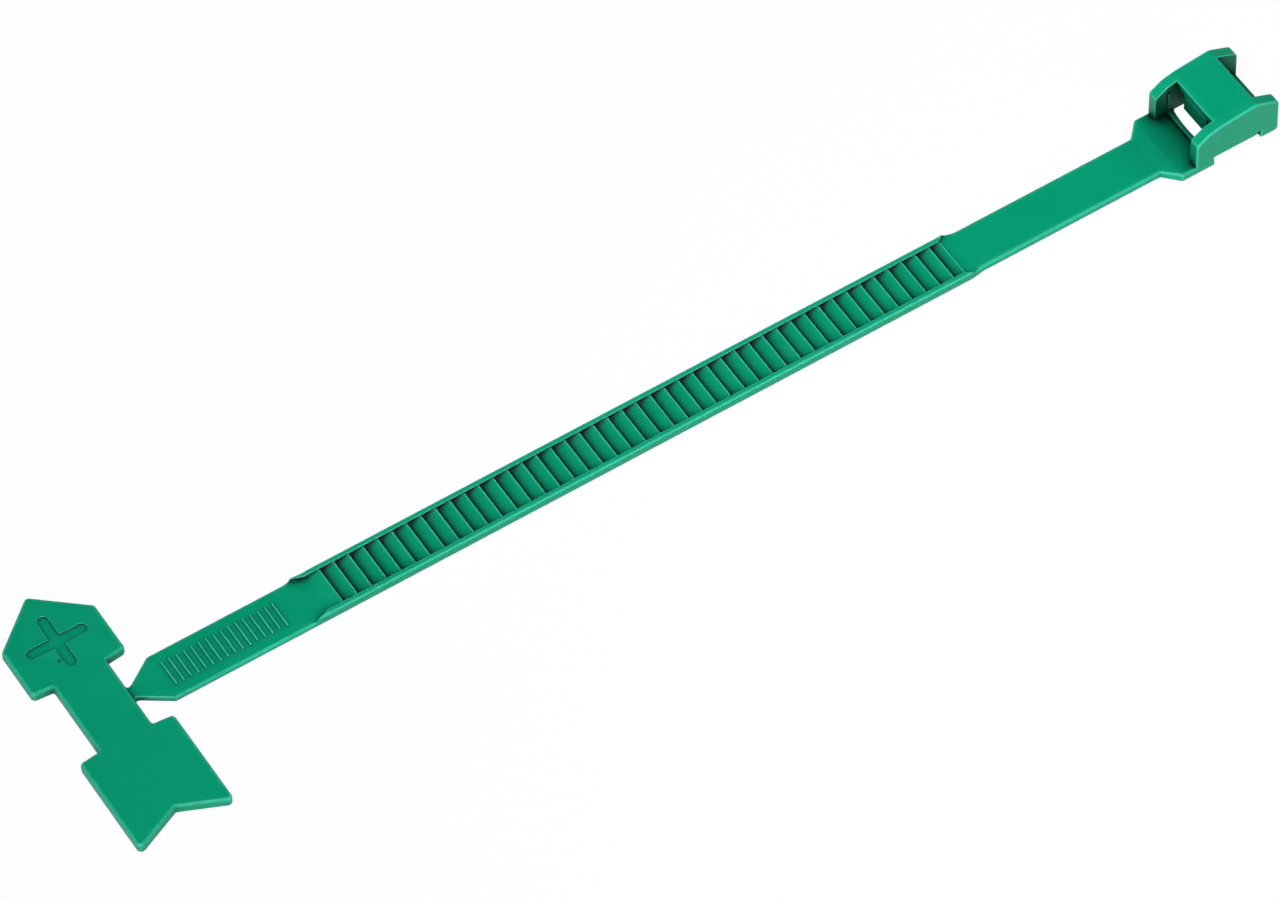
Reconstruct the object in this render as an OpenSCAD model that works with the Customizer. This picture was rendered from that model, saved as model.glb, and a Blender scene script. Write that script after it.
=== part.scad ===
// Cable tie with an arrow-shaped marker tag, moulded in one piece and laid flat.
// X runs along the strap from the tag to the locking head, Z is up.
// The origin is on the underside of the strap, on its centreline, midway along the whole tie.

/* [Marker tag] */
// Length of the arrow from its point to its tail corners
arrow_len = 28.5; // [24:0.1:34]
// Width of the arrowhead
arrow_w = 9.4; // [8:0.1:12]
// Length of the sloping part of the arrowhead
point_len = 4.05; // [3:0.05:5]
// Length of the arrowhead from its point to its barbs
arrowhead_len = 9.75; // [7.5:0.05:11.5]
// Width of the arrow's shaft
shaft_w = 5.35; // [4:0.05:6.5]
// Length of the broad tail of the arrow
fletch_len = 10.8; // [8:0.1:12]
// Width of the broad tail
fletch_w = 9.5; // [8:0.1:12]
// Depth of the notch in the tail
notch_depth = 2.15; // [1:0.05:4]
// Slant of the edges where the shaft widens, in degrees
barb_slant = 5.5; // [0:0.5:12]
// Thickness of the tag
tag_t = 1; // [0.8:0.05:1.3]
// Radius of the tag's outer corners, seen from above
tag_corner_r = 0.45; // [0.1:0.05:0.8]
// Radius of the tag's inner corners, seen from above
tag_inner_r = 0.25; // [0.1:0.05:0.6]

/* [Cross mark on the tag] */
// Distance from the arrow's point to the middle of the cross
cross_from_point = 5.7; // [4.5:0.1:6.9]
// Length of each bar of the cross
cross_len = 5.4; // [3:0.1:6.5]
// Width of each bar
cross_w = 0.85; // [0.4:0.05:1.5]
// Depth of the cross below the tag's face
cross_depth = 0.14; // [0.05:0.01:0.3]
// Radius of the small pin mark beside the cross
pin_mark_r = 0.15; // [0.1:0.01:0.3]

/* [Neck and tail] */
// Distance from the middle of the arrow to the strap, towards the arrow's point
neck_offset = 0.48; // [0:0.02:1]
// Width of the break-off neck
neck_w = 1.45; // [0.8:0.05:2]
// Length of the neck before the tail widens
neck_len = 0.45; // [0.4:0.05:0.8]
// Length over which the tail widens
taper_len = 2.7; // [2:0.05:4]
// Length of the plain tail, from the taper to the first tooth
tail_len = 16.05; // [12.5:0.05:20]
// Thickness of the plain tail
tail_t = 0.6; // [0.45:0.01:0.75]
// Number of grip ribs
grip_count = 16; // [6:1:20]
// Distance from one grip rib to the next
grip_pitch = 0.75; // [0.55:0.01:0.95]
// Distance from the taper to the first grip rib
grip_start = 0.8; // [0.4:0.05:1.2]
// Length of each grip rib, across the strap
grip_len = 2.85; // [2:0.05:3.6]
// Width of each grip rib at its foot
grip_w = 0.24; // [0.16:0.01:0.4]
// Height of the grip ribs
grip_h = 0.1; // [0.05:0.01:0.15]

/* [Strap] */
// Width of the toothed strap and of the tail
strap_w = 5.2; // [4.9:0.05:6.4]
// Height of the side rails
rail_h = 1; // [0.95:0.01:1.3]
// Width of each side rail
rail_w = 0.55; // [0.35:0.01:0.7]
// Length over which a rail comes to its full width
rail_lead = 1.4; // [1:0.05:2]
// Distance from one tooth to the next
tooth_pitch = 1.5; // [1.2:0.05:1.8]
// Number of teeth
tooth_count = 45; // [30:1:60]
// Thickness of the strap in the valleys between the teeth
web_t = 0.45; // [0.35:0.01:0.55]
// Height of the teeth above the valleys
tooth_h = 0.46; // [0.3:0.01:0.48]
// Length of the steep back of each tooth
tooth_back = 0.2; // [0.1:0.01:0.3]
// Radius along the crest of each tooth
crest_r = 0.09; // [0.04:0.01:0.12]
// Length of the ramp of the last tooth, which ends at the plain band
last_ramp = 0.95; // [0.8:0.05:1.2]
// Length of the plain band beside the head
band_len = 20.7; // [16:0.1:26]
// Width of the plain band
band_w = 4.8; // [4:0.05:4.88]
// Thickness of the plain band
band_t = 0.75; // [0.6:0.01:0.89]
// Length over which the strap narrows to the plain band
band_step = 0.5; // [0.3:0.05:1]

/* [Head] */
// Length over which the band widens to the head
flare_len = 1.45; // [1:0.05:2]
// Length of the open floor in front of the cheeks
porch_len = 1.5; // [1:0.05:2.5]
// Thickness of the floor under the passage
floor_t = 0.9; // [0.75:0.01:1.08]
// Length of the floor between the cheeks
floor_len = 2; // [1.85:0.05:2.4]
// Hollow in the end of the floor, seen from above
floor_hollow = 0.25; // [0.1:0.01:0.3]
// Length of the cheeks
head_len = 9.15; // [8.9:0.05:11]
// Thickness of each cheek
cheek_t = 1.15; // [0.8:0.05:1.4]
// Height of the cheeks' front edge
cheek_front_h = 3.9; // [3.6:0.05:4.4]
// Height of the head at its top
head_h = 5.6; // [5.4:0.05:6.6]
// Height of the underside of the cheeks behind the floor
cheek_bottom = 1.05; // [0.8:0.05:1.25]
// Clearance on each side of the strap in the guide frame
strap_clear = 0.04; // [0.02:0.01:0.1]
// Width of the raised guide frame where it is narrowest, along the strap
guide_w = 0.4; // [0.3:0.01:0.5]
// Height of the guide frame above the floor
sill_h = 0.4; // [0.3:0.01:0.5]
// Height of the guide frame above the inside of each cheek
guide_h = 0.14; // [0.1:0.01:0.2]
// Distance from the cheeks' front edge back to the roof
roof_start = 2.35; // [2.2:0.05:2.6]
// Thickness of the roof
roof_t = 0.9; // [0.7:0.05:1.1]
// Length of the roof
roof_len = 4.4; // [3.9:0.05:4.6]

/* [Locking pawl and crossbar] */
// Clearance between the pawl and each rail
pawl_clear = 0.3; // [0.15:0.01:0.4]
// How deep the pawl reaches past the crests of a strap in the passage
pawl_bite = 0.2; // [0.1:0.01:0.3]
// Room for the pawl to lift, below the roof
flex_gap = 0.25; // [0.2:0.01:0.3]
// Distance from the roof's front edge back to the pawl's face
pawl_recess = 0.12; // [0.05:0.01:0.2]
// Number of teeth under the pawl
pawl_teeth = 2; // [1:1:2]
// Thickness of the pawl where it bends
hinge_t = 0.6; // [0.45:0.01:0.75]
// Length of the crossbar at the back, along the strap
crossbar_len = 1.95; // [1.6:0.05:2.1]
// Height of the top of the crossbar
crossbar_top = 1.75; // [1.5:0.05:2]
// Height of the underside of the crossbar
crossbar_bottom = 0.35; // [0.2:0.05:0.5]
// Width of the small notch in front of each foot
foot_notch = 0.3; // [0.2:0.01:0.4]

/* [Hidden] */
tie_colour = "#00946c";
arc_steps = 5;
overlap = 0.1;
tall = 10;

ladder_len = tooth_count * tooth_pitch;
tag_half_w = max(arrow_w, fletch_w) / 2;
total_len = tag_half_w + shaft_w / 2 + neck_len + taper_len + tail_len
    + ladder_len + band_len + flare_len + porch_len + head_len;

x_tag = tag_half_w - total_len / 2;
x_neck = x_tag + shaft_w / 2;
x_taper = x_neck + neck_len;
x_tail = x_taper + taper_len;
x_ladder = x_tail + tail_len;
x_band = x_ladder + ladder_len;
x_flare = x_band + band_len;
x_porch = x_flare + flare_len;
x_cheek = x_porch + porch_len;
x_floor_end = x_cheek + floor_len;

// The passage takes the toothed strap between its guide ribs
passage_w = strap_w + 2 * (strap_clear + guide_h);
head_w = passage_w + 2 * cheek_t;
guide_x = x_floor_end - floor_hollow - guide_w;
sill_top = floor_t + sill_h;
crest_z = web_t + tooth_h;
strap_crest_z = sill_top + crest_z;

roof_x = x_cheek + roof_start;
roof_end = roof_x + roof_len;
pawl_w = strap_w - 2 * (rail_w + pawl_clear);
crossbar_x = x_cheek + head_len - crossbar_len;

// Corners along the top of the cheeks, which the roof shares, measured from their front edge
brow_u = 1.3;
brow_rise = 0.9;
brow_z = cheek_front_h + brow_rise;
roof_front_u = 2.8;
roof_drop = 0.4;
roof_front_z = head_h - roof_drop;
peak_u = 6.6;
lug_u = 8.85;
lug_drop = 1.05;
lug_z = head_h - lug_drop;
back_lean = 0.05;

// Radii of the cheeks' corners in side view
brow_front_r = 0.35;
brow_r = 0.8;
roof_front_r = 2;
peak_r = 1.1;
lug_r = 0.5;
heel_r = 0.4;
step_r = 0.15;

// Largest share of the height of a tooth's back that the radius of its crest takes
crest_share = 0.75;
// Share of a tooth's height that each tooth of the pawl has
pawl_tooth = 0.8;
// The crossbar stands in from the back of the feet by this much
crossbar_inset = 0.1;
roof_slope = (head_h - roof_front_z) / (peak_u - roof_front_u);

function unit(v) = v / norm(v);

function turned(v, a) = [v[0] * cos(a) - v[1] * sin(a), v[0] * sin(a) + v[1] * cos(a)];

// Points of the arc of radius r that rounds the corner b between a and c
function corner(a, b, c, r) =
    r == 0 ? [b] :
    let (
        back = unit(a - b),
        on = unit(c - b),
        half = acos(back * on) / 2,
        middle = b + unit(back + on) * r / sin(half),
        start = b + back * r / tan(half) - middle,
        sweep = -sign(cross(back, on)) * (180 - 2 * half)
    )
    [for (k = [0:arc_steps]) middle + turned(start, sweep * k / arc_steps)];

// A closed outline from points [x, y, radius of the corner there]
function rounded(path) =
    let (n = len(path))
    [for (i = [0:n - 1])
        let (a = path[(i + n - 1) % n], b = path[i], c = path[(i + 1) % n])
        each corner([a[0], a[1]], [b[0], b[1]], [c[0], c[1]], b[2])];

// An outline from one half, given from left to right, and its mirror image across X
function both_sides(half) =
    concat(half, [for (i = [len(half) - 1:-1:0]) [half[i][0], -half[i][1], half[i][2]]]);

function reversed(path) = [for (i = [len(path) - 1:-1:0]) path[i]];

// Height of the roof's top above the floor plane, at x
function roof_z(x) = roof_front_z + (x - x_cheek - roof_front_u) * roof_slope;

// Draws a side view, given as X and Z, and gives it a width across the strap
module across(outline, width) {
    rotate([90, 0, 0])
        linear_extrude(width, center = true)
            polygon(outline);
}

// Arrow outline, symmetrical about its own axis
function arrow_outline() =
    let (
        tip = arrow_len / 2,
        s = shaft_w / 2,
        a = arrow_w / 2,
        f = fletch_w / 2,
        barb_y = tip - arrowhead_len,
        fletch_y = fletch_len - tip,
        barb_out = barb_y + (a - s) * tan(barb_slant),
        fletch_out = fletch_y - (f - s) * tan(barb_slant),
        side = [
            [a, tip - point_len, tag_corner_r],
            [a, barb_out, tag_corner_r],
            [s, barb_y, tag_inner_r],
            [s, fletch_y, tag_inner_r],
            [f, fletch_out, tag_corner_r],
            [f, -tip, tag_corner_r]
        ]
    )
    concat(
        [[0, tip, tag_corner_r]],
        side,
        [[0, notch_depth - tip, tag_inner_r]],
        [for (p = reversed(side)) [-p[0], p[1], p[2]]]
    );

// Bar of the cross, with round ends
module cross_bar() {
    straight = cross_len - cross_w;
    square([straight, cross_w], center = true);
    for (side = [-1, 1])
        translate([side * straight / 2, 0])
            circle(d = cross_w, $fn = 24);
}

module tag() {
    cross_y = arrow_len / 2 - cross_from_point;
    translate([x_tag, -neck_offset, 0])
        difference() {
            linear_extrude(tag_t)
                polygon(rounded(arrow_outline()));
            translate([0, cross_y, tag_t - cross_depth])
                linear_extrude(tall)
                    union() {
                        cross_bar();
                        rotate(90)
                            cross_bar();
                    }
            translate([-cross_w - pin_mark_r, cross_y - cross_len / 2 + cross_w, tag_t - cross_depth])
                cylinder(h = tall, r = pin_mark_r, $fn = 16);
        }
}

// Plan of the neck, tail, strap and floor
function strap_outline() =
    let (
        neck_root = x_neck - overlap / 4,
        neck_r = neck_len * 0.75,
        fillet_y = neck_w / 2 + 1.5 * neck_r
    )
    rounded(both_sides([
        [x_tag, fillet_y, 0],
        [neck_root, fillet_y, 0],
        [neck_root, neck_w / 2, neck_r],
        [x_taper, neck_w / 2, neck_r],
        [x_tail, strap_w / 2, strap_w / 8],
        [x_band, strap_w / 2, 0],
        [x_band + band_step, band_w / 2, 0],
        [x_flare, band_w / 2, flare_len / 4],
        [x_porch, head_w / 2, flare_len / 6],
        [x_floor_end, head_w / 2, 0]
    ]));

// Side view of one tooth: a gentle ramp, a rounded crest and a steep back, which limits the radius
function tooth(x, start_z, ramp, end_z) =
    let (back_h = crest_z - end_z)
    concat(
        [[x, start_z]],
        corner(
            [x, start_z],
            [x + ramp, crest_z],
            [x + ramp + tooth_back * back_h / tooth_h, end_z],
            max(0, min(crest_r, crest_share * back_h))
        )
    );

// Side view of the tail, teeth, band and floor
function strap_profile() =
    let (
        ramp = tooth_pitch - tooth_back,
        last_x = x_band - tooth_pitch,
        last_back = tooth_back * (crest_z - band_t) / tooth_h
    )
    concat(
        [[x_tag, 0], [x_tag, tail_t]],
        [for (i = [0:tooth_count - 2])
            each tooth(x_ladder + i * tooth_pitch, i == 0 ? tail_t : web_t, ramp, web_t)],
        tooth(last_x, web_t, last_ramp, band_t),
        [
            [last_x + last_ramp + last_back, band_t],
            [x_flare, band_t],
            [x_porch, floor_t],
            [x_floor_end, floor_t],
            [x_floor_end, 0]
        ]
    );

module strap() {
    intersection() {
        across(strap_profile(), 2 * head_w);
        linear_extrude(tall)
            polygon(strap_outline());
    }
}

// Side rails, which start and end with a slanting face
module rails() {
    inner_y = strap_w / 2 - rail_w;
    intersection() {
        linear_extrude(rail_h)
            polygon(strap_outline());
        for (side = [0, 1])
            mirror([0, side, 0])
                linear_extrude(tall)
                    polygon([
                        [x_ladder - rail_lead, strap_w / 2],
                        [x_ladder - rail_lead / 5, inner_y],
                        [x_band - rail_lead / 2, inner_y],
                        [x_band + band_step, strap_w / 2],
                        [x_band, strap_w],
                        [x_ladder, strap_w]
                    ]);
    }
}

// Fine grip ribs across the tail
module grip_ribs() {
    foot = grip_w / 2;
    crown = grip_w / 4;
    rib = [
        [-foot, -overlap],
        [foot, -overlap],
        [foot, 0],
        [crown, grip_h],
        [-crown, grip_h],
        [-foot, 0]
    ];
    for (i = [0:grip_count - 1])
        translate([x_tail + grip_start + i * grip_pitch, 0, tail_t])
            across(rib, grip_len);
}

// Side view of a cheek, from its front edge, with the foot at the back
function cheek_outline() =
    let (
        foot_x = x_cheek + head_len - crossbar_len,
        back_x = x_cheek + head_len
    )
    rounded([
        [x_cheek, 0, 0],
        [x_floor_end, 0, 0],
        [x_floor_end, cheek_bottom, step_r],
        [foot_x - foot_notch, cheek_bottom, 0],
        [foot_x - foot_notch, cheek_bottom + foot_notch, 0],
        [foot_x, cheek_bottom + foot_notch, 0],
        [foot_x, crossbar_bottom, step_r],
        [back_x, crossbar_bottom, heel_r],
        [back_x - back_lean, lug_z - heel_r, heel_r],
        [x_cheek + lug_u, lug_z, lug_r],
        [x_cheek + peak_u, head_h, peak_r],
        [x_cheek + roof_front_u, roof_front_z, roof_front_r],
        [x_cheek + brow_u, brow_z, brow_r],
        [x_cheek, cheek_front_h, brow_front_r]
    ]);

module cheeks() {
    for (side = [-1, 1])
        translate([0, side * (passage_w + cheek_t) / 2, 0])
            across(cheek_outline(), cheek_t);
}

// Raised frame that guides the strap at the mouth of the passage: a sill and two upright ribs
module guide_frame() {
    foot_z = floor_t - overlap;
    rib_y = strap_w / 2 + strap_clear;
    translate([guide_x, -passage_w / 2, foot_z])
        cube([x_floor_end - guide_x, passage_w, sill_top - foot_z]);
    for (side = [0, 1])
        mirror([0, side, 0])
            translate([guide_x, rib_y, foot_z])
                cube([guide_w, guide_h + overlap, cheek_front_h - foot_z]);
}

// Roof between the cheeks, level with their tops
module roof() {
    intersection() {
        across(cheek_outline(), head_w - cheek_t);
        across([
            [roof_x, roof_z(roof_x) - roof_t],
            [roof_end, roof_z(roof_end) - roof_t],
            [roof_end, tall],
            [roof_x, tall]
        ], head_w);
    }
}

// Locking pawl: a tongue that hangs from the back of the roof and points to the mouth
module pawl() {
    face_x = roof_x + pawl_recess;
    tip_z = strap_crest_z - pawl_bite;
    step = tooth_h * pawl_tooth;
    pawl_top = roof_z(roof_x) - roof_t - flex_gap;
    root_x = roof_end - overlap - 1.5 * hinge_t;
    heel_x = face_x + pawl_teeth * tooth_pitch - tooth_back;
    teeth = [for (i = [0:pawl_teeth - 1])
        each [
            [face_x + i * tooth_pitch, tip_z],
            [face_x + (i + 1) * tooth_pitch - tooth_back, tip_z + step]
        ]];
    across(
        concat(
            teeth,
            [
                [heel_x + hinge_t, pawl_top - hinge_t],
                [roof_end - overlap, roof_z(roof_end) - roof_t - flex_gap],
                [roof_end - overlap, roof_z(roof_end) - roof_t / 2],
                [root_x, roof_z(root_x) - roof_t / 2],
                [root_x, roof_z(root_x) - roof_t - flex_gap],
                [face_x, pawl_top]
            ]
        ),
        pawl_w
    );
}

// Bar that joins the two feet behind the opening
module crossbar() {
    bar_end = crossbar_x + crossbar_len - crossbar_inset;
    across(
        rounded([
            [crossbar_x, crossbar_bottom, heel_r / 2],
            [bar_end, crossbar_bottom, heel_r],
            [bar_end, crossbar_top, heel_r],
            [crossbar_x, crossbar_top, heel_r]
        ]),
        passage_w + cheek_t
    );
}

// Shallow hollow in the end of the floor and its sill, between the cheeks
module floor_end_cut() {
    half_w = passage_w / 2;
    hollow_r = (half_w * half_w + floor_hollow * floor_hollow) / (2 * floor_hollow);
    intersection() {
        translate([x_floor_end - floor_hollow + hollow_r, 0, -overlap])
            cylinder(h = tall, r = hollow_r, $fn = 180);
        translate([x_floor_end - 2 * floor_hollow, -half_w, -overlap])
            cube([3 * floor_hollow, passage_w, sill_top + 2 * overlap]);
    }
}

module cable_tie() {
    color(tie_colour) {
        difference() {
            union() {
                tag();
                strap();
                rails();
                grip_ribs();
                guide_frame();
            }
            floor_end_cut();
        }
        cheeks();
        roof();
        pawl();
        crossbar();
    }
}

cable_tie();
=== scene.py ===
import math

import bmesh
import bpy
from mathutils import Matrix, Vector


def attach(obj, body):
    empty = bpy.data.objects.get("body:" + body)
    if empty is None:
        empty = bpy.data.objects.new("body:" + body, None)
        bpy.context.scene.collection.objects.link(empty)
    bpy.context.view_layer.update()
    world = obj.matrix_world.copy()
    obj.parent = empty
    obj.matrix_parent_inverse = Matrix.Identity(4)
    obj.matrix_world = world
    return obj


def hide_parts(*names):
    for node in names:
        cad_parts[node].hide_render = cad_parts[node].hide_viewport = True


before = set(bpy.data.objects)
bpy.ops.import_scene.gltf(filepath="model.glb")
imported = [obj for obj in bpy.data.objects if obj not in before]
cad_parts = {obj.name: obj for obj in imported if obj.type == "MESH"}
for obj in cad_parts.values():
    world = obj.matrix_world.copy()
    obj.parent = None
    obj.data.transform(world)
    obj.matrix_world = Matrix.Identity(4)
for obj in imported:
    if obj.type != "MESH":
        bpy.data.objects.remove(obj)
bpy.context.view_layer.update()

mm = 0.001
scene = bpy.context.scene
print("frame loaded:", sorted(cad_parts))


def newNode(tree, kind, at, **settings):
    # a setting is an attribute of the node, or else the value of its input
    node = tree.nodes.new(kind)
    node.location = at
    for name, value in settings.items():
        if hasattr(node, name):
            setattr(node, name, value)
        else:
            node.inputs[name].default_value = value
    return node


def maths(tree, operation, at, first, second):
    # a Math node fed by sockets or by plain numbers
    node = newNode(tree, "ShaderNodeMath", at, operation=operation)
    for socket, value in zip(node.inputs, (first, second)):
        if isinstance(value, float):
            socket.default_value = value
        else:
            tree.links.new(value, socket)
    return node.outputs[0]


def remapped(tree, at, value, given, wanted):
    # a Map Range node that carries one span onto another
    node = newNode(tree, "ShaderNodeMapRange", at, clamp=True)
    for label, number in zip(("From Min", "From Max", "To Min", "To Max"), (*given, *wanted)):
        node.inputs[label].default_value = number
    tree.links.new(value, node.inputs["Value"])
    return node.outputs[0]


def newGroup(name, inputs, outputs):
    # inputs: (name, kind, default), outputs: (name, kind)
    group = bpy.data.node_groups.new(name, "ShaderNodeTree")
    for label, kind, default in inputs:
        socket = group.interface.new_socket(label, in_out="INPUT", socket_type=kind)
        socket.default_value = default
    for label, kind in outputs:
        group.interface.new_socket(label, in_out="OUTPUT", socket_type=kind)
    start = newNode(group, "NodeGroupInput", (-900, 0))
    end = newNode(group, "NodeGroupOutput", (900, 0))
    return group, start, end


def emptyTree(owner):
    # the nodes of a material or a world, cleared
    owner.use_nodes = True
    owner.node_tree.nodes.clear()
    return owner.node_tree


mottleAndEdgeHighlight = {
    "mottleScale": 260.0,     # per metre, so patches of about 4 mm
    "speckScale": 2600.0,
    "noiseSpan": (0.3, 0.7),  # where nearly all of the noise lies
    "leastHighlight": 0.70,        # share of an edge's painted highlight that is left between the specks
    "roughness": (0.34, 0.44),
}


def mottleAndEdgeHighlightGroup():
    # slow mottling from the melt, fine specks, and painted highlights that pale the sharp edges
    look = mottleAndEdgeHighlight
    group, start, end = newGroup(
        "Mottle And Edge Highlight",
        [
            ("Colour", "NodeSocketColor", (0.0, 0.3, 0.15, 1)),
            ("Edge Colour", "NodeSocketColor", (0.02, 0.42, 0.25, 1)),
            ("Mottle", "NodeSocketFloat", 0.1),
            ("Speck", "NodeSocketFloat", 0.05),
            ("Edge", "NodeSocketFloat", 0.3),
        ],
        [("Colour", "NodeSocketColor"), ("Roughness", "NodeSocketFloat")],
    )
    link = group.links.new
    coords = newNode(group, "ShaderNodeTexCoord", (-900, -300))
    noises, swings = {}, []
    for label, scale, detail, row in [
        ("Mottle", look["mottleScale"], 3.0, -150),
        ("Speck", look["speckScale"], 2.0, -400),
    ]:
        noise = newNode(group, "ShaderNodeTexNoise", (-650, row), Scale=scale, Detail=detail)
        link(coords.outputs["Object"], noise.inputs["Vector"])
        noises[label] = noise.outputs["Fac"]
        swing = maths(group, "SUBTRACT", (-430, row), noises[label], 0.5)
        swings.append(maths(group, "MULTIPLY", (-240, row), swing, start.outputs[label]))
    swing = maths(group, "ADD", (-60, -250), *swings)
    value = maths(group, "ADD", (100, -250), swing, 1.0)
    # painted highlight: sharp edges are paled towards Edge Colour, broken up by the specks
    edge = newNode(
        group, "ShaderNodeAttribute", (-650, 250), attribute_name="highlitEdge", attribute_type="GEOMETRY",
    )
    broken = remapped(group, (-430, 100), noises["Speck"], look["noiseSpan"], (look["leastHighlight"], 1.0))
    highlit = maths(group, "MULTIPLY", (-240, 200), edge.outputs["Fac"], broken)
    amount = maths(group, "MULTIPLY", (-60, 200), highlit, start.outputs["Edge"])
    blend = newNode(group, "ShaderNodeMix", (80, 100), data_type="RGBA")
    link(amount, blend.inputs[0])
    link(start.outputs["Colour"], blend.inputs[6])
    link(start.outputs["Edge Colour"], blend.inputs[7])
    shade = newNode(group, "ShaderNodeHueSaturation", (280, -100))
    link(value, shade.inputs["Value"])
    link(blend.outputs[2], shade.inputs["Color"])
    link(shade.outputs["Color"], end.inputs["Colour"])
    rough = remapped(group, (280, -350), noises["Mottle"], look["noiseSpan"], look["roughness"])
    link(rough, end.inputs["Roughness"])
    return group


mouldedSkin = {
    "grainScale": 5200.0,     # spark-eroded mould texture, about 0.2 mm
    "waveScale": 420.0,       # slow sink marks, about 2.5 mm
    "grainDepth": 0.004 * mm,
    "waveDepth": 0.012 * mm,
}


def mouldedSkinGroup():
    # a height that feeds the material's bump: fine grain over slow waves
    group, start, end = newGroup(
        "Moulded Skin",
        [("Grain", "NodeSocketFloat", 1.0), ("Waves", "NodeSocketFloat", 1.0)],
        [("Height", "NodeSocketFloat")],
    )
    coords = newNode(group, "ShaderNodeTexCoord", (-900, -300))
    heights = []
    for label, scale, depth, row in [
        ("Grain", mouldedSkin["grainScale"], mouldedSkin["grainDepth"], 0),
        ("Waves", mouldedSkin["waveScale"], mouldedSkin["waveDepth"], -250),
    ]:
        noise = newNode(group, "ShaderNodeTexNoise", (-650, row), Scale=scale, Detail=2.0)
        group.links.new(coords.outputs["Object"], noise.inputs["Vector"])
        deep = maths(group, "MULTIPLY", (-430, row), noise.outputs["Fac"], depth)
        heights.append(maths(group, "MULTIPLY", (-240, row), deep, start.outputs[label]))
    height = maths(group, "ADD", (0, -100), *heights)
    group.links.new(height, end.inputs["Height"])
    return group


greenNylon = {
    "colour": (0.0, 0.29, 0.15, 1),
    # painted highlight on the sharp edges: edgeColour is its colour and edge how strongly it shows
    "edgeColour": (0.05, 0.55, 0.39, 1),
    "mottle": 0.12,
    "speck": 0.06,
    "edge": 0.8,
    "grain": 1.0,
    "waves": 1.0,
    "ior": 1.5,
    "sheen": 0.14,            # specular level
    "nookShade": [
        # painted shade: grooves and inside corners are darkened over this reach, are darkest where this
        # share of the sky is open, and keep this brightness there
        {"reach": 1.3 * mm, "darkest": 0.48, "left": 0.10},
        {"reach": 9.0 * mm, "darkest": 0.50, "left": 0.24},
    ],
    "nookShadeSamples": 20,
}


def greenNylonMaterial():
    look = greenNylon
    material = bpy.data.materials.new("Green Nylon")
    tree = emptyTree(material)
    link = tree.links.new
    output = newNode(tree, "ShaderNodeOutputMaterial", (600, 0))
    shader = newNode(
        tree, "ShaderNodeBsdfPrincipled", (300, 0),
        IOR=look["ior"], **{"Specular IOR Level": look["sheen"]},
    )
    colour = newNode(
        tree, "ShaderNodeGroup", (-100, 150), node_tree=mottleAndEdgeHighlightGroup(),
        Colour=look["colour"], Mottle=look["mottle"], Speck=look["speck"], Edge=look["edge"],
        **{"Edge Colour": look["edgeColour"]},
    )
    skin = newNode(
        tree, "ShaderNodeGroup", (-300, -250), node_tree=mouldedSkinGroup(),
        Grain=look["grain"], Waves=look["waves"],
    )
    bump = newNode(tree, "ShaderNodeBump", (-50, -250), Strength=1.0, Distance=1.0)
    link(skin.outputs["Height"], bump.inputs["Height"])
    shadedColour = colour.outputs["Colour"]
    # painted shade: ambient occlusion of the tie itself darkens the base colour in grooves, recesses and
    # inside corners
    for row, nook in enumerate(look["nookShade"]):
        y = 420 + 260 * row
        sky = newNode(
            tree, "ShaderNodeAmbientOcclusion", (-500, y),
            samples=look["nookShadeSamples"], only_local=True, Distance=nook["reach"],
        )
        paintedShadeLevel = remapped(tree, (-300, y), sky.outputs["AO"], (nook["darkest"], 1.0), (nook["left"], 1.0))
        shadeNode = newNode(tree, "ShaderNodeVectorMath", (100, y), operation="SCALE")
        link(shadedColour, shadeNode.inputs[0])
        link(paintedShadeLevel, shadeNode.inputs["Scale"])
        shadedColour = shadeNode.outputs[0]
    link(shadedColour, shader.inputs["Base Color"])
    link(colour.outputs["Roughness"], shader.inputs["Roughness"])
    link(bump.outputs["Normal"], shader.inputs["Normal"])
    link(shader.outputs["BSDF"], output.inputs["Surface"])
    return material


nylon = greenNylonMaterial()
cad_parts["cable_tie"].data.materials.clear()
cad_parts["cable_tie"].data.materials.append(nylon)
print("material ready:", nylon.name)


# in mm, as every size of the tie's forms below
tieSizes = {
    "totalLength": 126.925,
    "strapWidth": 5.2,
    "bandWidth": 4.8,
    "tailThick": 0.6,
    "bandThick": 0.75,
    # lengths along the tie, each from the end of the one above
    "tagMiddle": 4.75,
    "tagToNeck": 2.675,
    "neckLength": 0.45,
    "taperLength": 2.7,
    "tailLength": 16.05,
    "ladderLength": 67.5,
    "bandLength": 20.7,
    "flareLength": 1.45,
    "porchLength": 1.5,
    "cheekLength": 9.15,
    "floorLength": 2.0,       # but this one from the cheeks' fronts
}
tagX = tieSizes["tagMiddle"] - tieSizes["totalLength"] / 2
neckX = tagX + tieSizes["tagToNeck"]
taperX = neckX + tieSizes["neckLength"]
tailX = taperX + tieSizes["taperLength"]
ladderX = tailX + tieSizes["tailLength"]
bandX = ladderX + tieSizes["ladderLength"]
flareX = bandX + tieSizes["bandLength"]
porchX = flareX + tieSizes["flareLength"]
cheekX = porchX + tieSizes["porchLength"]
backX = cheekX + tieSizes["cheekLength"]
floorEndX = cheekX + tieSizes["floorLength"]

straightEnough = math.radians(89.9)   # half the angle of a corner that needs no arc
leastRadius = 0.02
nearlyRound = 0.98                    # share of half a width that rounds its end
quarterTurn = (0, 0.52, 1.05, 1.57)   # angles along a rounded edge
fineQuarterTurn = (0, 0.39, 0.79, 1.18, 1.57)


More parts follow.
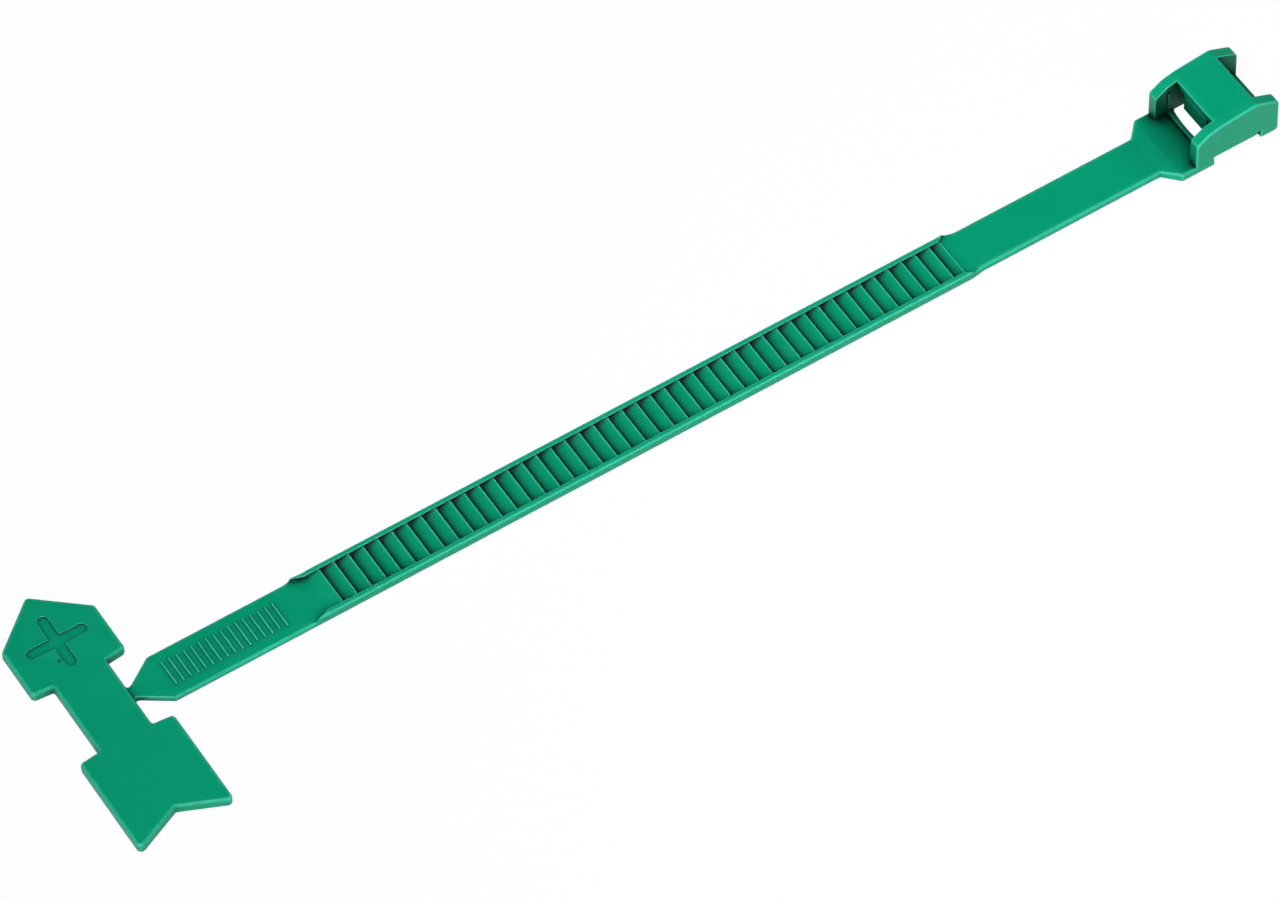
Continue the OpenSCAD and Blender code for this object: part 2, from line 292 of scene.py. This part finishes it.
def cornerArc(before, at, after, radius, steps):
    # points of the arc that rounds the corner between two straight sides
    back = (before - at).normalized()
    on = (after - at).normalized()
    half = math.acos(max(-1, min(1, back.dot(on)))) / 2
    if radius <= 0 or half > straightEnough:
        return [at]
    middle = at + (back + on).normalized() * radius / math.sin(half)
    start = at + back * radius / math.tan(half) - middle
    turn = back.x * on.y - back.y * on.x
    sweep = -math.copysign(math.pi - 2 * half, turn)
    return [middle + Matrix.Rotation(sweep * k / steps, 2) @ start for k in range(steps + 1)]


def ring(path, inset=0.0, steps=4):
    # path goes anticlockwise as (u, v, corner radius), and inset draws every side inwards
    spots = [Vector(p[:2]) for p in path]
    count = len(spots)
    moved = []
    for i, at in enumerate(spots):
        first = (at - spots[i - 1]).normalized()
        second = (spots[(i + 1) % count] - at).normalized()
        firstIn, secondIn = Vector((-first.y, first.x)), Vector((-second.y, second.x))
        moved.append(at + (firstIn + secondIn) / (1 + firstIn.dot(secondIn)) * inset)
    points = []
    for i, at in enumerate(moved):
        before, after = moved[i - 1], moved[(i + 1) % count]
        radius = path[i][2]
        if radius > 0:
            a, b = at - before, after - at
            outward = a.x * b.y - a.y * b.x > 0
            radius = max(radius - inset, leastRadius) if outward else radius + inset
        points += cornerArc(before, at, after, radius, steps)
    return points


def rimLevels(low, high, lowRim, highRim, steps=4):
    # (inset, level) of each ring: round the low rim, up the wall and round the high rim
    levels = []
    for k in range(steps + 1 if lowRim else 1):
        a = math.pi / 2 * k / steps if lowRim else math.pi / 2
        levels.append((lowRim * (1 - math.sin(a)), low + lowRim * (1 - math.cos(a))))
    for k in range(steps + 1 if highRim else 1):
        a = math.pi / 2 * k / steps if highRim else 0
        levels.append((highRim * (1 - math.cos(a)), high - highRim * (1 - math.sin(a))))
    return levels


def skinned(name, loops):
    # one closed solid through a row of rings with the same number of points, given in mm
    work = bmesh.new()
    rows = [[work.verts.new(Vector(p) * mm) for p in loop] for loop in loops]
    for a, b in zip(rows, rows[1:]):
        for i in range(len(a)):
            j = (i + 1) % len(a)
            work.faces.new((a[i], a[j], b[j], b[i]))
    work.faces.new(rows[0])
    work.faces.new(rows[-1])
    bmesh.ops.recalc_face_normals(work, faces=work.faces)
    mesh = bpy.data.meshes.new(name)
    work.to_mesh(mesh)
    work.free()
    item = bpy.data.objects.new(name, mesh)
    scene.collection.objects.link(item)
    return item


def standing(u, v, w):
    return (u, v, w)              # plan drawn as X and Y, raised along Z


def standingNear(u, v, w):
    return (u, -v, w)             # the same, mirrored to the near side


def sideways(u, v, w):
    return (u, w, v)              # side view drawn as X and Z, carried across Y


def sidewaysNear(u, v, w):
    return (u, -w, v)


def prism(name, path, low, high, lowRim=0.0, highRim=0.0, place=standing, steps=4):
    loops = [
        [place(p.x, p.y, level) for p in ring(path, inset, steps)]
        for inset, level in rimLevels(low, high, lowRim, highRim)
    ]
    return skinned(name, loops)


def combined(target, others, how):
    # joins the others onto the target, or cuts them out of it
    for other in others:
        step = target.modifiers.new(how, "BOOLEAN")
        step.operation = how
        step.object = other
        step.solver = "MANIFOLD"
    graph = bpy.context.evaluated_depsgraph_get()
    mesh = bpy.data.meshes.new_from_object(target.evaluated_get(graph))
    target.modifiers.clear()
    target.data = mesh
    for other in others:
        bpy.data.objects.remove(other)
    return target


markerTag = {
    "length": 28.5,
    "thick": 1.0,
    "offset": 0.48,           # the tag's middle lies this far to the near side of the strap's
    "headLength": 9.75,
    "headWidth": 9.4,
    "point": 4.05,
    "shaftWidth": 5.35,
    "fletchLength": 10.8,
    "fletchWidth": 9.5,
    "notch": 2.15,
    "slant": 5.5,             # degrees, of the edges where the shaft widens
    "corner": 0.45,
    "innerCorner": 0.25,
    "topRim": 0.30,
    "underRim": 0.12,
}
crossMark = {
    "fromPoint": 5.65,
    "length": 6.0,
    "width": 1.02,
    "innerCorner": 0.12,
    "arcSteps": 6,
    "depth": 0.14,
    "draft": 0.06,
    # how its wall rises, in drafts inwards and depths down
    "wall": [(1.5, 1.0), (0.5, 0.9), (0.0, 0.3), (-1.0, 0.0), (-1.5, -1.0)],
    "pinX": -0.85,            # the ejector pin's mark, from the middle of the cross
    "pinY": -1.98,
    "pinRadius": 0.15,
    "pinDepth": 0.06,
}


def arrowPath():
    # anticlockwise, from the point down the left side
    t = markerTag
    tip, shaft, head, fletch = (t[k] / 2 for k in ("length", "shaftWidth", "headWidth", "fletchWidth"))
    barb, fletchTop = tip - t["headLength"], t["fletchLength"] - tip
    lean = math.tan(math.radians(t["slant"]))
    side = [
        (head, tip - t["point"], t["corner"]),
        (head, barb + (head - shaft) * lean, t["corner"]),
        (shaft, barb, t["innerCorner"]),
        (shaft, fletchTop, t["innerCorner"]),
        (fletch, fletchTop - (fletch - shaft) * lean, t["corner"]),
        (fletch, -tip, t["corner"]),
    ]
    whole = [
        (0, tip, t["corner"]),
        *[(-x, y, r) for x, y, r in side],
        (0, t["notch"] - tip, t["innerCorner"]),
        *side[::-1],
    ]
    return [(x + tagX, y - t["offset"], r) for x, y, r in whole]


def crossPath(middleX, middleY):
    c = crossMark
    long, half = c["length"] / 2, c["width"] / 2
    arm = [
        (long, -half, half * nearlyRound),
        (long, half, half * nearlyRound),
        (half, half, c["innerCorner"]),
    ]
    path = []
    for quarter in range(4):
        spin = Matrix.Rotation(math.pi / 2 * quarter, 2)
        for x, y, r in arm:
            p = spin @ Vector((x, y))
            path.append((p.x + middleX, p.y + middleY, r))
    return path


def buildTag():
    t, c = markerTag, crossMark
    tag = prism("tag", arrowPath(), 0, t["thick"], t["underRim"], t["topRim"])
    markY = t["length"] / 2 - c["fromPoint"] - t["offset"]
    path = crossPath(tagX, markY)
    loops = []
    for drafts, depths in c["wall"]:
        level = t["thick"] - c["depth"] * depths
        loops.append([standing(p.x, p.y, level) for p in ring(path, c["draft"] * drafts, c["arcSteps"])])
    cross = skinned("cross", loops)
    pinX, pinY, r = tagX + c["pinX"], markY + c["pinY"], c["pinRadius"]
    around = ((-1, -1), (1, -1), (1, 1), (-1, 1))
    pinPath = [(pinX + sx * r, pinY + sy * r, r * nearlyRound) for sx, sy in around]
    pin = prism("pin", pinPath, t["thick"] - c["pinDepth"], t["thick"] + c["depth"])
    return combined(tag, [cross, pin], "DIFFERENCE")


strapForm = {
    "neckWidth": 1.45,
    "neckRoot": 0.6,          # length of the neck inside the tag
    "neckFillet": 0.34,
    "filletTurn": (0.5, 0.9, 1.25, 1.57),
    "taperCorner": 0.8,
    "tailCorner": 0.65,
    "railHeight": 1.0,
    "railWidth": 0.55,
    "railLead": 1.4,          # the rails start this far before the first tooth
    "railRise": 0.3,
    "railTip": 0.14,          # width of a rail where it starts and ends
    "railFull": 0.28,         # it has its full width from here before the first tooth
    "railFades": 0.7,         # to here before the band
    "railSwell": 0.7,         # a rail's end blends into the band over this length
    "railRim": 0.16,
    "railLip": 0.09,
    "foot": 0.05,
    "topRim": 0.24,
    "underRim": 0.12,
    "pitch": 1.5,
    "teeth": 45,
    "web": 0.45,
    "toothHeight": 0.46,
    "toothBack": 0.2,
    "crest": 0.12,
    "bulge": 0.06,
    "rampShares": (0.15, 0.3, 0.45, 0.6, 0.75, 0.88),
    "lastRamp": 0.95,
    "bandStep": 0.5,          # the rails end half of this into the band
    "narrowing": 1.3,         # length over which the strap narrows to the band
    "bandCorner": 1.5,
    "flareCorner": 0.36,
    "porchCorner": 0.24,
    "floorThick": 0.9,
    "headWidth": 7.86,
    "arcSteps": 5,            # sides of each bend in the plan and of each crest
    "rounding": 4,            # decimals kept of where a section stands
    "tailSections": (0.8, 1, 15),   # extra sections: first, spacing and count
    "bandSections": (3, 2, 8),
}
# most of a width that a section's points may take, and where its flat stretches have a point
sectionShares = {
    "rail": 0.6,              # of the half width
    "neckRail": 0.5,
    "rimInHalf": 0.3,
    "rimInRail": 0.45,        # of the rail's width
    "lipInRail": 0.4,
    "underside": 0.5,
    "web": 0.35,
}
hair = 0.001                  # keeps two points of a section apart
closest = 0.002               # least distance between sections


def planLine():
    # half width of the strap along its length
    s = strapForm
    neck, head = s["neckWidth"] / 2, s["headWidth"] / 2
    wide, band = tieSizes["strapWidth"] / 2, tieSizes["bandWidth"] / 2
    r = s["neckFillet"]
    line = [(neckX - s["neckRoot"], neck + r), (neckX, neck + r)]
    line += [(neckX + r * (1 - math.cos(a)), neck + r * (1 - math.sin(a))) for a in s["filletTurn"]]
    bends = [
        (taperX, neck, s["taperCorner"]),
        (tailX, wide, s["tailCorner"]),
        (bandX, wide, s["bandCorner"]),
        (bandX + s["narrowing"], band, s["bandCorner"]),
        (flareX, band, s["flareCorner"]),
        (porchX, head, s["porchCorner"]),
        (floorEndX, head, 0),
    ]
    spots = [Vector(line[-1])] + [Vector(b[:2]) for b in bends]
    for i, bend in enumerate(bends[:-1]):
        line += [tuple(p) for p in cornerArc(spots[i], spots[i + 1], spots[i + 2], bend[2], s["arcSteps"])]
    return line + [bends[-1][:2]]


def topLine():
    # height of the strap's middle: tail, teeth, band and floor
    s = strapForm
    line = [(neckX - s["neckRoot"], tieSizes["tailThick"])]
    crestZ = s["web"] + s["toothHeight"]
    for i in range(s["teeth"]):
        last = i == s["teeth"] - 1
        x = ladderX + i * s["pitch"]
        start = tieSizes["tailThick"] if i == 0 else s["web"]
        end = tieSizes["bandThick"] if last else s["web"]
        run = s["lastRamp"] if last else s["pitch"] - s["toothBack"]
        line.append((x, start))
        for t in s["rampShares"]:
            line.append((x + run * t, start + (crestZ - start) * t * (1 + s["bulge"] * (1 - t))))
        crest = Vector((x + run, crestZ))
        foot = Vector((x + run + s["toothBack"] * (crestZ - end) / s["toothHeight"], end))
        line += [tuple(p) for p in cornerArc(Vector(line[-1]), crest, foot, s["crest"], s["arcSteps"])]
    line.append(tuple(foot))
    return line + [(flareX, tieSizes["bandThick"]), (porchX, s["floorThick"]), (floorEndX, s["floorThick"])]


def along(line, x):
    # value of a polyline at x
    for (x0, a), (x1, b) in zip(line, line[1:]):
        if x <= x1:
            return a + (b - a) * max(0, x - x0) / (x1 - x0) if x1 > x0 else b
    return line[-1][1]


def halfSection(half, middle, rail, wide, rim):
    # (y, z) from the middle of the underside out, up and over the rail to the middle of the web
    s, share = strapForm, sectionShares
    low, wall = s["underRim"], half - wide
    lipAcross, lip = min(s["railLip"], wide * share["lipInRail"]), min(s["railLip"], (rail - middle) / 2)
    footAcross, foot = s["foot"], min(s["foot"], (rail - middle) / 2)
    side = [(0, 0), (half * share["underside"], 0)]
    side += [(half - low + low * math.sin(a), low - low * math.cos(a)) for a in quarterTurn]
    side += [(half - rim + rim * math.cos(a), rail - rim + rim * math.sin(a)) for a in fineQuarterTurn]
    side += [(wall + lipAcross * (1 - math.sin(a)), rail - lip * (1 - math.cos(a))) for a in quarterTurn]
    side += [
        (wall - footAcross * (1 - math.cos(a)) - hair, middle + foot * (1 - math.sin(a)))
        for a in quarterTurn
    ]
    return side + [(half * share["web"], middle), (0, middle)]


def buildStrap():
    s, share = strapForm, sectionShares
    plan, top = planLine(), topLine()
    rise, tip, places = s["railRise"], s["railTip"], s["rounding"]
    railIn, railOut = ladderX - s["railLead"], bandX + s["bandStep"] / 2
    railLine = [(railIn - rise, 0), (railIn, 1), (railOut - rise, 1), (railOut, 0)]   # share of its height
    widthLine = [
        (railIn, tip),
        (ladderX - s["railFull"], s["railWidth"]),
        (bandX - s["railFades"], s["railWidth"]),
        (railOut - rise, tip),
        (railOut, tip),
        (railOut + s["railSwell"], s["railWidth"]),
    ]
    stops = {round(x, places) for line in (plan, top, railLine, widthLine) for x, _ in line}
    for origin, (first, spacing, count) in ((tailX, s["tailSections"]), (bandX, s["bandSections"])):
        stops |= {round(origin + first + k * spacing, places) for k in range(count)}
    stops = sorted(stops)
    stops = [x for i, x in enumerate(stops) if i == 0 or x - stops[i - 1] > closest]
    loops = []
    for x in stops:
        half, middle = along(plan, x), along(top, x)
        rail = middle + (s["railHeight"] - middle) * along(railLine, x)
        if x > railIn:
            wide = min(along(widthLine, x), half * share["rail"])
        else:
            wide = min(tip + max(0, railIn - rise - x), half * share["neckRail"])
        rim = s["railRim"] if ladderX < x < bandX else s["topRim"]
        rim = min(rim, wide * share["rimInRail"], half * share["rimInHalf"])
        side = halfSection(half, middle, rail, wide, rim)
        loops.append([(x, y, z) for y, z in side] + [(x, -y, z) for y, z in side[-2:0:-1]])
    return skinned("strap", loops)


gripRibs = {
    "count": 16,
    "pitch": 0.75,
    "start": 0.8,
    "length": 2.85,
    "width": 0.26,
    "height": 0.11,
    "sunk": 0.1,              # depth of a rib inside the tail
    # sections along a rib, in shares of half its length and of its height
    "ends": [(-1, 0.35), (-0.97, 0.8), (-0.9, 1), (0.9, 1), (0.97, 0.8), (1, 0.35)],
    "arch": (0, 0.5, 1.05, 1.57, 2.09, 2.64, 3.14),
}


def buildGrip(index):
    g = gripRibs
    x = tailX + g["start"] + index * g["pitch"]
    base, half = tieSizes["tailThick"], g["width"] / 2
    loops = []
    for share, size in g["ends"]:
        y = share * g["length"] / 2
        arch = [(x - half * math.cos(a), y, base + g["height"] * size * math.sin(a)) for a in g["arch"]]
        loops.append(arch + [(x + half, y, base - g["sunk"]), (x - half, y, base - g["sunk"])])
    return skinned("grip", loops)


# "At" is a distance from the cheeks' fronts
lockHead = {
    "passage": 5.56,
    "cheek": 1.15,
    "height": 5.6,
    "frontHeight": 3.9,
    "browAt": 1.3,
    "browRise": 0.9,
    "roofFrontAt": 2.8,
    "roofDrop": 0.4,
    "peakAt": 6.6,
    "lugAt": 8.85,
    "lugDrop": 1.05,
    "lugBack": 0.4,           # height of the bevel behind the lug
    "backLean": 0.05,
    "cheekFoot": 0.4,
    "underCheek": 1.05,
    "footNotch": 0.3,
    "frontCorner": 0.35,
    "browCorner": 0.8,
    "roofCorner": 2.0,
    "peakCorner": 1.1,
    "lugCorner": 0.5,
    "backCorner": 0.4,
    "underCorner": 0.15,
    "notchCorner": 0.06,
    "outerRim": 0.20,
    "innerRim": 0.10,
    "overlap": 0.1,           # how far one form runs into the next
    "arcSteps": 5,
}
headRoof = {
    "start": 2.35,
    "length": 4.4,
    "thick": 0.9,
    "topCorner": 0.10,
    "underCorner": 0.08,
    "inCheek": 0.4,
    "skin": 0.004,            # it lies this far under the cheeks' outline
    "crownAbove": 4.6,
    "skylineAbove": 3.5,
}
headPawl = {
    "sideGap": 0.3,
    "tip": 2.01,
    "step": 0.37,
    "recess": 0.12,
    "flexGap": 0.25,
    "hinge": 0.6,
    "rootBack": 1.5,          # where the hinge leaves the roof, in hinges from its end
    "tipCorner": 0.05,
    "footCorner": 0.03,
    "heelCorner": 0.3,
    "rootCorner": 0.08,
    "faceCorner": 0.1,
    "rim": 0.04,
}
headBar = {"length": 1.95, "top": 1.75, "under": 0.35, "frontCorner": 0.2, "corner": 0.4, "inCheek": 0.5}
headSill = {"height": 0.4, "base": 0.5, "past": 0.2, "corner": 0.08}
guideRib = {"width": 0.4, "height": 0.14, "base": 0.5, "corner": 0.05}
# how far the floor's end bows in, and the lens that cuts it
floorHollow = {"bow": 0.25, "past": 1.0, "low": -0.5, "high": 1.8, "halfSteps": 8}
passageWall = lockHead["passage"] / 2


def cheekPath():
    h = lockHead
    footX = backX - headBar["length"]
    notch, under, bar = h["footNotch"], h["underCheek"], headBar["under"]
    roofZ, lug = h["height"] - h["roofDrop"], h["height"] - h["lugDrop"]
    brow = h["frontHeight"] + h["browRise"]
    return [
        (cheekX, h["cheekFoot"], 0),
        (floorEndX, h["cheekFoot"], 0),
        (floorEndX, under, h["underCorner"]),
        (footX - notch, under, h["notchCorner"]),
        (footX - notch, under + notch, h["notchCorner"]),
        (footX, under + notch, h["notchCorner"]),
        (footX, bar, h["underCorner"]),
        (backX, bar, h["backCorner"]),
        (backX - h["backLean"], lug - h["lugBack"], h["backCorner"]),
        (cheekX + h["lugAt"], lug, h["lugCorner"]),
        (cheekX + h["peakAt"], h["height"], h["peakCorner"]),
        (cheekX + h["roofFrontAt"], roofZ, h["roofCorner"]),
        (cheekX + h["browAt"], brow, h["browCorner"]),
        (cheekX, h["frontHeight"], h["frontCorner"]),
    ]


def roofTop(x):
    h = lockHead
    rise = h["roofDrop"] / (h["peakAt"] - h["roofFrontAt"])
    return h["height"] - h["roofDrop"] + (x - cheekX - h["roofFrontAt"]) * rise


def buildCheeks():
    h = lockHead
    outer = passageWall + h["cheek"]
    return [
        prism(
            "cheek", cheekPath(), passageWall, outer,
            h["innerRim"], h["outerRim"], place, h["arcSteps"],
        )
        for place in (sidewaysNear, sideways)
    ]


def buildRoof():
    r, overlap = headRoof, lockHead["overlap"]
    startX, endX = cheekX + r["start"], cheekX + r["start"] + r["length"]
    outline = ring(cheekPath(), r["skin"], lockHead["arcSteps"])
    crown = [p for p in outline if p.y > r["crownAbove"] and startX + overlap < p.x < endX - overlap]
    skyline = sorted((p.x, p.y) for p in outline if p.y > r["skylineAbove"])
    path = [
        (startX, roofTop(startX) - r["thick"], r["underCorner"]),
        (endX, roofTop(endX) - r["thick"], r["underCorner"]),
        (endX, along(skyline, endX), r["topCorner"]),
        *[(p.x, p.y, 0) for p in crown],   # runs from the back to the front
        (startX, along(skyline, startX), r["topCorner"]),
    ]
    reach = passageWall + r["inCheek"]
    return prism("roof", path, -reach, reach, place=sideways)


def buildPawl():
    # hangs from the back of the roof, and its two teeth have the strap's pitch
    p, overlap, thick = headPawl, lockHead["overlap"], headRoof["thick"]
    pitch, back = strapForm["pitch"], strapForm["toothBack"]
    roofX = cheekX + headRoof["start"]
    endX = roofX + headRoof["length"] - overlap
    faceX = roofX + p["recess"]
    heelX = faceX + 2 * pitch - back
    rootX = endX - p["rootBack"] * p["hinge"]
    topZ = roofTop(roofX) - thick - p["flexGap"]
    endTopZ = roofTop(roofX + headRoof["length"]) - thick
    tipZ, stepZ = p["tip"], p["tip"] + p["step"]
    path = [
        (faceX, tipZ, p["tipCorner"]),
        (faceX + pitch - back, stepZ, p["footCorner"]),
        (faceX + pitch, tipZ, p["tipCorner"]),
        (heelX, stepZ, p["footCorner"]),
        (heelX + p["hinge"], topZ - p["hinge"], p["heelCorner"]),
        (endX, endTopZ - p["flexGap"], 0),
        (endX, endTopZ + thick / 2, 0),
        (rootX, roofTop(rootX) - thick / 2, 0),
        (rootX, roofTop(rootX) - thick - p["flexGap"], p["rootCorner"]),
        (faceX, topZ, p["faceCorner"]),
    ]
    half = tieSizes["strapWidth"] / 2 - strapForm["railWidth"] - p["sideGap"]
    return prism("pawl", path, -half, half, p["rim"], p["rim"], sideways)


def buildBar():
    b = headBar
    startX, endX = backX - b["length"], backX - lockHead["overlap"]
    path = [
        (startX, b["under"], b["frontCorner"]),
        (endX, b["under"], b["corner"]),
        (endX, b["top"], b["corner"]),
        (startX, b["top"], b["corner"]),
    ]
    reach = passageWall + b["inCheek"]
    return prism("bar", path, -reach, reach, place=sideways)


def buildGuides():
    # the sill across the floor's end, and a rib up each cheek from it
    g, sill, overlap = guideRib, headSill, lockHead["overlap"]
    startX = floorEndX - floorHollow["bow"] - g["width"]
    sillTop, sillEnd = strapForm["floorThick"] + sill["height"], floorEndX + sill["past"]
    sillPath = [
        (startX, sill["base"], 0),
        (sillEnd, sill["base"], 0),
        (sillEnd, sillTop, 0),
        (startX, sillTop, sill["corner"]),
    ]
    reach = passageWall + overlap
    ribY, ribEnd = passageWall - g["height"], startX + g["width"]
    ribPath = [
        (startX, ribY, g["corner"]),
        (ribEnd, ribY, g["corner"]),
        (ribEnd, reach, 0),
        (startX, reach, 0),
    ]
    ribs = [
        prism("rib", ribPath, g["base"], lockHead["frontHeight"], 0, g["corner"], place)
        for place in (standingNear, standing)
    ]
    return prism("sill", sillPath, -reach, reach, place=sideways), ribs


def buildHollow():
    # a lens whose front bows into the end of the floor and its sill
    f = floorHollow
    half, pastX = f["halfSteps"], floorEndX + f["past"]
    path = [(pastX, -passageWall, 0), (pastX, passageWall, 0)]
    for share in (k / half for k in range(-half, half + 1)):
        path.append((floorEndX - f["bow"] * (1 - share ** 2), -passageWall * share, 0))
    return prism("hollow", path, f["low"], f["high"])


edgeHighlight = {
    "radius": 0.18 * mm,      # edges this tight or tighter get the full painted highlight
    "faint": math.radians(7),   # and bends shallower than this are no edge at all
    "sliver": 0.0002 * mm,    # flat slivers left where joined planes meet are narrower than this
    "leastArea": 1e-12,       # m2, so that nothing is divided by zero
}


def edgeMask(mesh):
    # how tightly each face curves, so that the material can paint highlights on the sharp edges
    work = bmesh.new()
    work.from_mesh(mesh)
    bmesh.ops.dissolve_degenerate(work, dist=edgeHighlight["sliver"], edges=work.edges)
    work.to_mesh(mesh)
    values = []
    for face in work.faces:
        bends = [(e.calc_face_angle_signed(0), e.calc_length()) for e in face.edges if e.is_manifold]
        bend = sum(angle * length for angle, length in bends if abs(angle) > edgeHighlight["faint"])
        tightness = bend / max(2 * face.calc_area(), edgeHighlight["leastArea"])
        values.append(max(0, min(1, tightness * edgeHighlight["radius"])))
    work.free()
    mesh.attributes.new("highlitEdge", "FLOAT", "FACE").data.foreach_set("value", values)


shading = {"sharpAbove": math.radians(34), "flatWeight": 80}


def buildTie():
    grips = [buildGrip(i) for i in range(gripRibs["count"])]
    strap = combined(buildStrap(), grips, "UNION")
    print("strap built:", len(strap.data.polygons), "faces")
    head = [*buildCheeks(), buildRoof(), buildPawl(), buildBar()]
    sill, ribs = buildGuides()
    tie = combined(strap, [sill], "UNION")
    tie = combined(tie, [buildHollow()], "DIFFERENCE")
    tie = combined(tie, [*head, *ribs, buildTag()], "UNION")
    print("head and tag joined:", len(tie.data.polygons), "faces")
    tie.name = tie.data.name = "tie"
    mesh = tie.data
    edgeMask(mesh)
    for face in mesh.polygons:
        face.use_smooth = True
    mesh.set_sharp_from_angle(angle=shading["sharpAbove"])
    normals = tie.modifiers.new("flat faces stay flat", "WEIGHTED_NORMAL")
    normals.keep_sharp = True
    normals.weight = shading["flatWeight"]
    return tie


tie = buildTie()
tie.data.materials.clear()
tie.data.materials.append(nylon)
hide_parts("cable_tie")
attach(tie, "root")
print("tie built")


floorLook = {
    "halfSize": 3.0,          # m
    "drop": 0.02 * mm,
    "colour": (0.86, 0.86, 0.86, 1),
    "whiteness": 0.93,        # how much of the backdrop's white the camera sees over the shaded floor
}


def floorMaterial():
    material = bpy.data.materials.new("Backdrop Paper")
    tree = emptyTree(material)
    link = tree.links.new
    output = newNode(tree, "ShaderNodeOutputMaterial", (600, 0))
    paper = newNode(tree, "ShaderNodeBsdfDiffuse", (0, 100), Color=floorLook["colour"])
    glow = newNode(tree, "ShaderNodeEmission", (0, -100), Color=(1, 1, 1, 1), Strength=1.0)
    rays = newNode(tree, "ShaderNodeLightPath", (-300, 300))
    seen = maths(tree, "MULTIPLY", (0, 300), rays.outputs["Is Camera Ray"], floorLook["whiteness"])
    mix = newNode(tree, "ShaderNodeMixShader", (300, 0))
    link(seen, mix.inputs["Fac"])
    link(paper.outputs[0], mix.inputs[1])
    link(glow.outputs[0], mix.inputs[2])
    link(mix.outputs[0], output.inputs["Surface"])
    return material


def buildFloor():
    work = bmesh.new()
    bmesh.ops.create_grid(work, x_segments=1, y_segments=1, size=floorLook["halfSize"])
    mesh = bpy.data.meshes.new("floor")
    work.to_mesh(mesh)
    work.free()
    floor = bpy.data.objects.new("floor", mesh)
    floor.location.z = -floorLook["drop"]
    mesh.materials.append(floorMaterial())
    scene.collection.objects.link(floor)


buildFloor()
print("floor laid")


studio = {
    "skyLow": 0.36,           # strength of the room's light at the horizon
    "skyHigh": 0.10,          # and from overhead
    "skyBlend": 0.40,         # height on the unit sphere at which it is fully overhead
    "lamps": [
        # name, position (m), aims at (m), size (m), spread (degrees), power (W)
        ("key", (-0.19, -0.19, 0.47), (0.12, 0.0, 0.0), 0.26, 68, 0.63),
        ("fill", (0.10, -0.75, 0.26), (0.04, 0.0, 0.0), 0.50, 180, 0.8),
    ],
}


def buildWorld():
    world = bpy.data.worlds.new("Studio")
    scene.world = world
    tree = emptyTree(world)
    link = tree.links.new
    output = newNode(tree, "ShaderNodeOutputWorld", (600, 0))
    rays = newNode(tree, "ShaderNodeLightPath", (-300, 300))
    white = newNode(tree, "ShaderNodeBackground", (0, -100), Color=(1, 1, 1, 1), Strength=1.0)
    coords = newNode(tree, "ShaderNodeTexCoord", (-900, 0))
    split = newNode(tree, "ShaderNodeSeparateXYZ", (-700, 0))
    height = newNode(
        tree, "ShaderNodeMapRange", (-500, 0), interpolation_type="SMOOTHSTEP", clamp=True,
        **{"From Max": studio["skyBlend"], "To Min": studio["skyLow"], "To Max": studio["skyHigh"]},
    )
    link(coords.outputs["Generated"], split.inputs[0])
    link(split.outputs["Z"], height.inputs["Value"])
    room = newNode(tree, "ShaderNodeBackground", (0, 100), Color=(1, 1, 1, 1))
    link(height.outputs[0], room.inputs["Strength"])
    mix = newNode(tree, "ShaderNodeMixShader", (300, 0))
    link(rays.outputs["Is Camera Ray"], mix.inputs["Fac"])
    link(room.outputs[0], mix.inputs[1])
    link(white.outputs[0], mix.inputs[2])
    link(mix.outputs[0], output.inputs["Surface"])


def buildLamps():
    for name, place, target, size, spread, power in studio["lamps"]:
        light = bpy.data.lights.new(name, "AREA")
        light.shape = "DISK"
        light.size = size
        light.energy = power
        light.spread = math.radians(spread)
        lamp = bpy.data.objects.new(name, light)
        lamp.location = place
        lamp.rotation_mode = "QUATERNION"
        lamp.rotation_quaternion = (Vector(target) - Vector(place)).to_track_quat("-Z", "Y")
        scene.collection.objects.link(lamp)


buildWorld()
buildLamps()
print("lights set:", [row[0] for row in studio["lamps"]])


cameraView = {
    "place": (-0.18891, -0.32174, 0.50892),   # m
    "azimuth": 29.946,        # degrees, clockwise from +Y
    "elevation": 54.060,      # degrees, looking down
    "roll": -2.929,
    "lens": 198.28,           # mm, on a sensor of this width
    "sensor": 36,
    "nearest": 0.01,          # m
    "farthest": 20,
}


def buildCamera():
    azimuth, elevation, roll = (math.radians(cameraView[k]) for k in ("azimuth", "elevation", "roll"))
    ahead = Vector((math.sin(azimuth), math.cos(azimuth), 0))
    level = Vector((math.cos(azimuth), -math.sin(azimuth), 0))
    forward = ahead * math.cos(elevation) - Vector((0, 0, math.sin(elevation)))
    upward = level.cross(forward)
    right = level * math.cos(roll) + upward * math.sin(roll)
    up = upward * math.cos(roll) - level * math.sin(roll)
    turn = Matrix((right, up, -forward)).transposed().to_4x4()
    data = bpy.data.cameras.new("camera")
    data.lens = cameraView["lens"]
    data.sensor_width = cameraView["sensor"]
    data.clip_start = cameraView["nearest"]
    data.clip_end = cameraView["farthest"]
    camera = bpy.data.objects.new("camera", data)
    camera.matrix_world = Matrix.Translation(cameraView["place"]) @ turn
    scene.collection.objects.link(camera)
    scene.camera = camera


buildCamera()
scene.view_settings.view_transform = "Standard"
print("camera placed")
